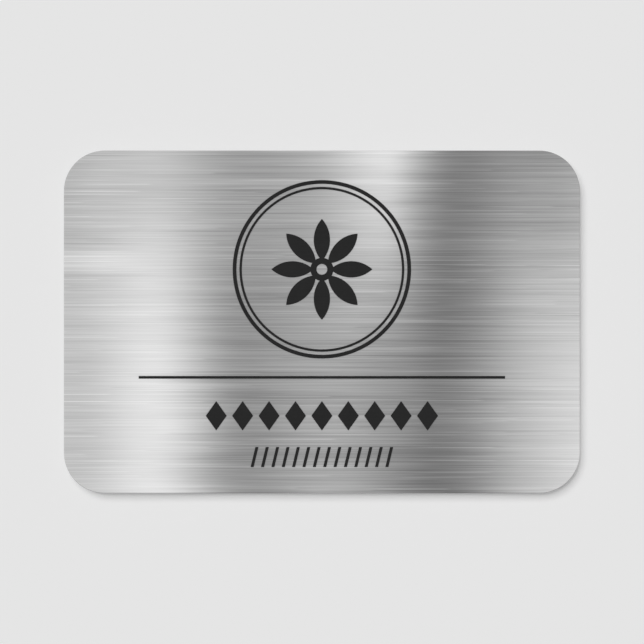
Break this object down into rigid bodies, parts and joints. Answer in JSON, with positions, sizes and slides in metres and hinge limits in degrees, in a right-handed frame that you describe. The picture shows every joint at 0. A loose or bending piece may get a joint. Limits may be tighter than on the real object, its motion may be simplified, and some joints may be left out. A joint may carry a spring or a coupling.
{
  "type": "name badge",
  "caption": "Brushed metal name badge with round corners, a printed double ring, rule and ornament, and a plain magnet bar on its back.",
  "frame": {"origin": "on the surface that the badge lies on, below the middle of its plate", "axes": "+X to the right of the face as it is read, +Y to its top edge, +Z out of its front"},
  "size_m": [0.0762, 0.0506, 0.0049],
  "materials": {
    "brushed_metal": "brushed",
    "black_ink": "satin print",
    "black_plastic": "fine matte"
  },
  "bodies": {
    "root": {"plate": "brushed_metal", "magnet_bar": "black_plastic", "outer_ring": "black_ink", "inner_ring": "black_ink", "rosette": "black_ink", "rule": "black_ink", "name_mark_1": "black_ink", "name_mark_2": "black_ink", "name_mark_3": "black_ink", "name_mark_4": "black_ink", "name_mark_5": "black_ink", "name_mark_6": "black_ink", "name_mark_7": "black_ink", "name_mark_8": "black_ink", "name_mark_9": "black_ink", "title_mark_1": "black_ink", "title_mark_2": "black_ink", "title_mark_3": "black_ink", "title_mark_4": "black_ink", "title_mark_5": "black_ink", "title_mark_6": "black_ink", "title_mark_7": "black_ink", "title_mark_8": "black_ink", "title_mark_9": "black_ink", "title_mark_10": "black_ink", "title_mark_11": "black_ink", "title_mark_12": "black_ink", "title_mark_13": "black_ink", "title_mark_14": "black_ink"}
  },
  "joints": []
}
